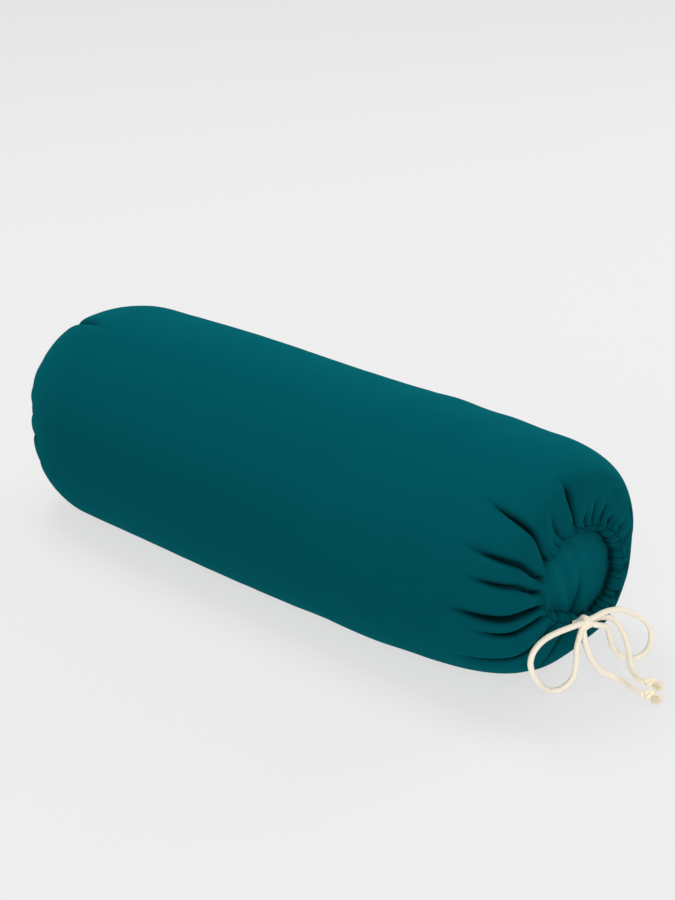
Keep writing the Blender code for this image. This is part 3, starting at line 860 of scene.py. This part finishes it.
def pillow_section(x, share, angle):
    reach = np.where(np.sin(angle) < 0, PILLOW_CENTRE - PILLOW_BOTTOM, PILLOW_TOP - PILLOW_CENTRE)
    sag = np.where(np.sin(angle) < 0, 2 / SAG_POWER, 1.0)
    y = share * PILLOW_HALF_WIDTH * signed_power(np.cos(angle), sag)
    z = PILLOW_CENTRE + share * reach * signed_power(np.sin(angle), sag)
    return np.stack([x + 0 * y, y, z], -1)


def pillow_profile():
    rows = []
    for k in range(47, 0, -1):
        run, left = curl(k / 47 * 0.995, FAR_DOME[2])
        rows.append((-(FAR_DOME[0] + FAR_DOME[1] * run), HALF_WIDTH * left, left))
    rows.append((-FAR_DOME[0], HALF_WIDTH, 1.0))
    rows.append((NEAR_DOME[0], HALF_WIDTH, 1.0))
    for k in range(1, 60):
        run, left = curl(k / 59 * 0.995, NEAR_DOME[2])
        rows.append((NEAR_DOME[0] + NEAR_DOME[1] * run, HALF_WIDTH * left, left))
    return rows


# The slot that the zip lies in: half its length and width, and half the width that is cut away
ZIP_HALF = 0.200
SLOT_HALF = 0.0070
SLOT_CELL = 0.0060
PILLOW_AROUND = 420


def pillow_creases(grid):
    """How far the near dome's creases stand out, and how deep its one long pucker is."""
    y, z = grid[..., 1], grid[..., 2] - NECK_HEIGHT
    near = smooth_step((grid[..., 0] - 0.27) / 0.03)
    low = smooth_step((-0.004 - z) / 0.022)
    crease = 0.0021 * np.sin((y + 0.34 * z) / 0.0038 + 0.8 * np.sin(z / 0.02))
    crease = crease * smooth_step((0.05 - np.abs(y)) / 0.05)
    pucker = 0.0060 * np.exp(-np.abs(y - 0.019 - 0.12 * (z + 0.02)) / 0.0022) * low
    swollen = 0.0020 * np.exp(-((y - 0.029) / 0.009) ** 2) * low
    return (crease + swollen - pucker) * near, pucker * near


def zip_slot(grid):
    """Turns the cloth's edges down along the zip, and says which faces to leave out between them."""
    over_zip = (np.abs(grid[..., 0]) < ZIP_HALF) & (grid[..., 2] > NECK_HEIGHT)
    hemmed = smooth_step((SLOT_HALF + 0.0016 - np.abs(grid[..., 1])) / 0.0014)
    grid[..., 2] -= 0.0011 * hemmed * over_zip
    across = np.abs(grid[:-1, :, 1] + np.roll(grid[:-1, :, 1], -1, 1)) / 2
    return over_zip[:-1] & over_zip[1:] & (across < SLOT_CELL)


def inner_pillow():
    profile = spaced(pillow_profile(), 0.0022)
    angles = np.linspace(0, 2 * np.pi, PILLOW_AROUND, endpoint=False) + np.pi / PILLOW_AROUND
    x, _, share = [column[:, None] for column in profile.T]
    grid = pillow_section(x, share, angles[None, :])
    arc = row_arc(grid)
    towards = mouth_reach(angles)[None, :] * smooth_step((x - 0.262) / 0.035) * smooth_step(share / 0.35)
    grid[..., 1] += towards * np.cos(angles)[None, :]
    grid[..., 2] += towards * np.sin(angles)[None, :]
    raised, pucker = pillow_creases(grid)
    grid = grid + outward(grid) * raised[..., None]
    slot = zip_slot(grid)
    shape = Shape()
    weave = weave_of(arc, angles, PILLOW_HALF_WIDTH)
    # The long pucker gets painted shade
    shape.grid(grid, weave, skip=slot, painted_shade=np.clip(pucker / 0.008, 0, 1))
    first = np.arange(PILLOW_AROUND)
    shape.cap(first[::-1], np.array([-0.0002, 0, 0]))
    shape.cap((len(grid) - 1) * PILLOW_AROUND + first, np.array([0.0002, 0, 0]))
    piece = shape.build("inner_pillow_cloth", inner_look)
    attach(piece, "inner_pillow")
    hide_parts("inner_casing", "inner_end_near", "inner_end_far", "inner_fill")


# ---------------------------------------------------------------- drawstring

CORD_STEP = 0.0008
# Half of the gap in the hem that the cord comes out of, and how far behind the hem's middle it runs
SLIT = math.radians(9)
RING_BACK = 0.0012
# The end knots' strand, and the frayed threads beyond them
KNOT_STRAND = 0.0021
TUFT_FIBRES = 150
TUFT_LENGTH = 0.0105


def free_cord(name, route, node):
    line = smooth_route(route, CORD_STEP)
    shape = Shape()
    tube(shape, line, CORD / 2 - 0.0001, 20, braid=0.00022)
    piece = shape.build(name, cotton_look)
    soft_part(piece, "cotton_cord", node)
    return piece


def hidden_ring():
    """The cord inside the hem, round from one side of the slit to the other, and its two leads out."""
    angles = np.linspace(-np.pi / 2 + SLIT, 3 * np.pi / 2 - SLIT, 120)
    line = mouth_ring(HEM_X - RING_BACK, HEM_RING, angles)
    shape = Shape()
    tube(shape, line, CORD / 2 - 0.0002, 14, braid=0.00015)
    piece = shape.build("drawstring_cord", cotton_look)
    soft_part(piece, "cotton_cord", "drawstring")
    inside = mouth_ring(HEM_X - RING_BACK, HEM_RING, np.array([angles[0] + SLIT / 2, angles[-1] - SLIT / 2]))
    edges = mouth_ring(HEM_X + 0.0012, HEM_RING, np.array([angles[0] - SLIT / 2, angles[-1] + SLIT / 2]))
    return [[Vector(a), Vector(b)] for a, b in zip(inside, edges)]


def strands(name, routes, radius, slot_nodes):
    """One tightened knot from several short lengths of cord that pass round and through it."""
    shape = Shape()
    for route in routes:
        tube(shape, smooth_route(route, 0.0006), radius, 18, braid=0.0002)
    piece = shape.build(name, cotton_look)
    soft_part(piece, "cotton_cord", *slot_nodes)
    return piece


def bow_knot(leads):
    """The bow's knot: a wrap over two crossing strands, with the leads from the hem behind it."""
    at = KNOT_AT
    wrap = []
    for k in range(19):
        turn = math.radians(-170 + k * 30)
        aside = -0.0036 + 0.0072 * k / 18
        wrap.append(at + Vector((0.0041 * math.cos(turn), aside, 0.0045 * math.sin(turn))))
    upper = [LOOP_LEFT[1], LOOP_LEFT[0], at + Vector((0.0010, -0.0030, 0.0012)),
             at + Vector((0.0010, 0.0040, 0.0012)), LOOP_RIGHT[0], LOOP_RIGHT[1]]
    lower = [LOOP_LEFT[-2], LOOP_LEFT[-1], at + Vector((0.0008, -0.0040, -0.0030)),
             at + Vector((0.0004, 0.0036, -0.0026)), LOOP_RIGHT[-1], LOOP_RIGHT[-2]]
    upper, lower = trimmed(upper), trimmed(lower)
    front = [at + Vector((-0.0006, 0.0004, 0.0010)), at + Vector((0.0002, -0.0008, -0.0030)), TAIL_FRONT[0]]
    back = [at + Vector((-0.0014, 0.0010, 0.0004)), at + Vector((-0.0020, 0.0050, -0.0022)), TAIL_BACK[0]]
    left = [*leads[0], at + Vector((-0.0060, 0.0026, -0.0016)), at + Vector((-0.0010, 0.0012, -0.0004))]
    right = [*leads[1], at + Vector((-0.0060, -0.0026, -0.0016)), at + Vector((-0.0010, -0.0012, -0.0004))]
    routes = (wrap, upper, lower, front, back, left, right)
    return strands("bow_knot_wrap", routes, CORD / 2 - 0.0001, ["bow_knot"])


def trimmed(route):
    """The route with its two end legs cut to a short stub that runs on inside the loops."""
    first = Vector(route[1]).lerp(Vector(route[0]), 0.06)
    last = Vector(route[-2]).lerp(Vector(route[-1]), 0.06)
    return [first, *route[1:-1], last]


def end_knot(name, at, ahead, node, seed):
    """An overhand knot pulled tight, and the frayed tuft beyond it."""
    ahead = Vector(ahead).normalized()
    side = ahead.cross(Vector((0, 0, 1))).normalized()
    up = side.cross(ahead)
    route = []
    for k in range(25):
        turn = 2 * math.pi * k / 24
        along = 0.00125 * (math.sin(turn) + 2 * math.sin(2 * turn))
        across = 0.00125 * (math.cos(turn) - 2 * math.cos(2 * turn))
        over = -0.0014 * math.sin(3 * turn)
        route.append(at + along * side + across * ahead + over * up)
    shape = Shape()
    tube(shape, smooth_route(route, 0.0006), KNOT_STRAND, 16, braid=0.00015)
    draw = np.random.RandomState(seed)
    for _ in range(TUFT_FIBRES):
        spread = side * draw.normal(0, 0.42) + up * draw.normal(0.10, 0.30)
        way = (ahead + spread).normalized()
        reach = TUFT_LENGTH * draw.uniform(0.55, 1.1)
        start = at + side * draw.normal(0, 0.0011) + up * draw.normal(0, 0.0007) + ahead * 0.0025
        bend = side * draw.normal(0, 0.0016) + up * draw.normal(0, 0.0008)
        points = []
        for part in (0, 0.25, 0.5, 0.75, 1):
            p = start + way * reach * part + bend * part * part
            p.z = max(p.z - 0.0022 * part, 0.0005 + 0.0007 * draw.uniform())
            points.append(p)
        tube(shape, smooth_route(points, 0.0016), draw.uniform(0.00014, 0.00026), 4)
    piece = shape.build(name, tuft_look)
    soft_part(piece, "cotton_cord", node)
    return piece


def bow():
    leads = hidden_ring()
    knot = bow_knot(leads)
    free_cord("bow_loop_left_cord", LOOP_LEFT, "bow_loop_left")
    free_cord("bow_loop_right_cord", LOOP_RIGHT, "bow_loop_right")
    front = end_knot("tail_front_tuft", TAIL_FRONT_END, (1, -0.12, 0), "tail_front_knot", 5)
    back = end_knot("tail_back_tuft", TAIL_BACK_END, (1, 0.10, 0), "tail_back_knot", 9)
    free_cord("tail_front_cord", TAIL_FRONT, "tail_front")
    free_cord("tail_back_cord", TAIL_BACK, "tail_back")


# ---------------------------------------------------------------- end patch and label

# The patch's width as a share of the far end's closed width, and its stitches
PATCH_EDGE = 1.02
PATCH_X = -LENGTH / 2 - 0.0012
STITCH_LONG = 0.0026
STITCH_GAP = 0.0010
# The label's upper and lower edge, in degrees about the cover's middle, from +Y
LABEL_TOP = -9
LABEL_BOTTOM = -27


def end_patch():
    """The round panel that the far gathers are sewn to, puckered at its seam, with a row of stitches."""
    angles = np.linspace(0, 2 * np.pi, 360, endpoint=False)
    rims = np.linspace(0.02, 1.0, 40)
    x = PATCH_X - 0.0016 * (1 - rims ** 4)
    x = x + 0.0030 * smooth_step((rims - 0.93) / 0.07)
    grid = cover_section(x[:, None], PATCH_EDGE * FAR_SHARE * rims[:, None], angles[None, :])
    pucker = 0.0007 * smooth_step((rims - 0.70) / 0.25)[:, None]
    grid[..., 0] += pucker * ruches(angles, 44, 2.3)[None, :]
    grid[..., 0] += 0.0003 * ripple(grid[..., 1], grid[..., 2], 17, 0.05)
    weave = np.stack([grid[..., 1], grid[..., 2]], -1)
    shape = Shape()
    shape.grid(grid, weave, flat_weave=True)
    shape.cap(np.arange(360)[::-1], np.array([-0.00002, 0, 0]))
    piece = thicken(shape.build("end_patch_cloth", cover_look), CLOTH)
    soft_part(piece, "cover_cloth", "cover_end_patch")
    seam = cover_section(PATCH_X - 0.0016, PATCH_EDGE * FAR_SHARE * 0.90, np.linspace(0, 2 * np.pi, 1200))
    stitches("end_patch_stitches", seam, (-1, 0, 0))


def stitches(name, line, out):
    """A row of short raised threads along a line."""
    along = distances(line)
    count = int(along[-1] / (STITCH_LONG + STITCH_GAP))
    shape = Shape()
    for k in range(count):
        start = k * along[-1] / count
        at = start + STITCH_LONG * np.linspace(0, 1, 5)
        thread = np.stack([np.interp(at, along, line[:, c]) for c in range(3)], 1)
        thread = thread + np.array(out)[None, :] * 0.00032 * np.sin(np.linspace(0, np.pi, 5))[:, None]
        tube(shape, thread, 0.00028, 6)
    piece = shape.build(name, thread_look)
    soft_part(piece, "cover_cloth")
    return piece


def care_label():
    """A folded woven tab sewn low on the back of the sleeve. It is blank."""
    low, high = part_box("care_label")
    length = np.linspace(low.x, high.x, 24)
    down = np.radians(np.linspace(LABEL_TOP, LABEL_BOTTOM, 22))
    grid = cover_section(length[:, None], 1.0, down[None, :])
    part = np.linspace(0, 1, 22)[None, :]
    lift = 0.0007 + 0.0030 * part ** 2 + 0.0004 * np.sin(9 * part + length[:, None] * 160)
    grid[..., 1] += lift
    grid[..., 2] -= 0.0006 * part
    weave = np.stack(np.broadcast_arrays(length[:, None], part * 0.022), -1)
    shape = Shape()
    shape.grid(grid, weave, closed=False)
    piece = thicken(shape.build("care_label_tab", label_look), 0.0006)
    soft_part(piece, "label_cloth", "care_label")
    edge = cover_section(length, 1.0, np.radians(LABEL_TOP - 2.0))
    edge[:, 1] += 0.0012
    stitches("care_label_stitches", edge, (0, 1, 0))


def thread_material():
    """Polyester sewing thread in the cover's colour, twisted."""
    made = mesh_material("thread")
    n = Nodes(made)
    place = n.weave_place()
    split = n.add("ShaderNodeSeparateXYZ", Vector=place)
    twist = n.maths("ADD", n.maths("MULTIPLY", split.outputs["X"], 9000.0),
                    n.maths("MULTIPLY", split.outputs["Y"], 7000.0))
    ply = n.maths("SINE", twist)
    share = n.maths("ADD", 0.5, n.maths("MULTIPLY", ply, 0.5))
    n.feed(n.shader, "Base Color", n.mixed(share, (0.001, 0.055, 0.066, 1), (0.002, 0.105, 0.124, 1)))
    n.feed(n.shader, "Roughness", 0.55)
    n.feed(n.shader, "Specular IOR Level", 0.2)
    n.bump(ply, 0.4, 0.00005)
    return made


def tape_material(name, dark, light, pitch, rough):
    """Narrow woven tape: fine crossed ribs with a satin sheen."""
    made = mesh_material(name)
    n = Nodes(made)
    place = n.add("ShaderNodeTexCoord").outputs["Object"]
    split = n.add("ShaderNodeSeparateXYZ", Vector=place)
    ribs = n.maths("SINE", n.maths("MULTIPLY", split.outputs["X"], 2 * math.pi / pitch))
    rows = n.maths("SINE", n.maths("MULTIPLY", split.outputs["Z"], 2 * math.pi / pitch))
    cross = n.maths("MULTIPLY", ribs, rows)
    speck = n.noise(place, 300.0, 2.0)
    share = n.maths("ADD", n.maths("MULTIPLY", cross, 0.25), speck)
    n.feed(n.shader, "Base Color", n.mixed(share, dark, light))
    n.feed(n.shader, "Roughness", rough)
    n.feed(n.shader, "Specular IOR Level", 0.15)
    n.bump(cross, 0.3, 0.0001)
    return made


def metal_material():
    """Satin nickel: brushed, with faint handling marks."""
    made = mesh_material("zip_metal")
    n = Nodes(made)
    place = n.add("ShaderNodeTexCoord").outputs["Object"]
    brushed = n.add("ShaderNodeMapping", Vector=place)
    brushed.inputs["Scale"].default_value = (300, 6000, 6000)
    line = n.noise(brushed.outputs[0], 1.0, 2.0)
    mark = n.noise(place, 350.0, 3.0)
    n.feed(n.shader, "Base Color", n.mixed(mark, (0.34, 0.34, 0.35, 1), (0.58, 0.58, 0.57, 1)))
    n.feed(n.shader, "Metallic", 1.0)
    n.feed(n.shader, "Roughness", n.maths("ADD", 0.22, n.maths("MULTIPLY", line, 0.25)))
    n.bump(line, 0.2, 0.00005)
    return made


thread_look = thread_material()
label_look = tape_material("label_cloth", (0.66, 0.66, 0.63, 1), (0.84, 0.84, 0.81, 1), 0.0007, 0.6)
tape_look = tape_material("zip_tape", (0.001, 0.040, 0.050, 1), (0.004, 0.075, 0.090, 1), 0.0009, 0.75)
coil_look = tape_material("zip_coil", (0.002, 0.030, 0.037, 1), (0.006, 0.062, 0.075, 1), 0.0012, 0.4)
metal_look = metal_material()


# ---------------------------------------------------------------- zip

COIL_PITCH = 0.0014


def dress(node, look):
    """Gives a CAD node that stays a better material."""
    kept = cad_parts[node]
    kept.data.materials.clear()
    kept.data.materials.append(look)


def zip_teeth(side, sign):
    """One half of the nylon coil: a flattened spiral whose turns mesh with the other half's."""
    low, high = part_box(f"zip_coil_{side}")
    middle = (low.z + high.z) / 2
    turns = int((high.x - low.x) / COIL_PITCH)
    shape = Shape()
    line = []
    for k in range(turns * 12 + 1):
        turn = 2 * math.pi * k / 12
        reach = low.y + (high.y - low.y) * (0.5 + 0.5 * math.cos(turn))
        reach -= sign * 0.0007 * (0.5 - 0.5 * math.cos(turn + (0 if sign > 0 else math.pi)))
        start = low.x + 0.0004 + (0.5 * COIL_PITCH if sign < 0 else 0)
        line.append((start + COIL_PITCH * k / 12, reach, middle + 0.00042 * math.sin(turn)))
    line = np.array(line)
    line = line[line[:, 0] < high.x - 0.0003]
    tube(shape, line, 0.00030, 6)
    piece = shape.build(f"zip_teeth_{side}", coil_look)
    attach(piece, "inner_pillow")
    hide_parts(f"zip_coil_{side}")


def zipper():
    for node in ("zip_tape_left", "zip_tape_right"):
        dress(node, tape_look)
    for node in ("zip_slider", "zip_pull", "zip_top_stop", "zip_bottom_stop"):
        dress(node, metal_look)
    zip_teeth("left", 1)
    zip_teeth("right", -1)


cover()
end_patch()
care_label()
inner_pillow()
bow()
zipper()
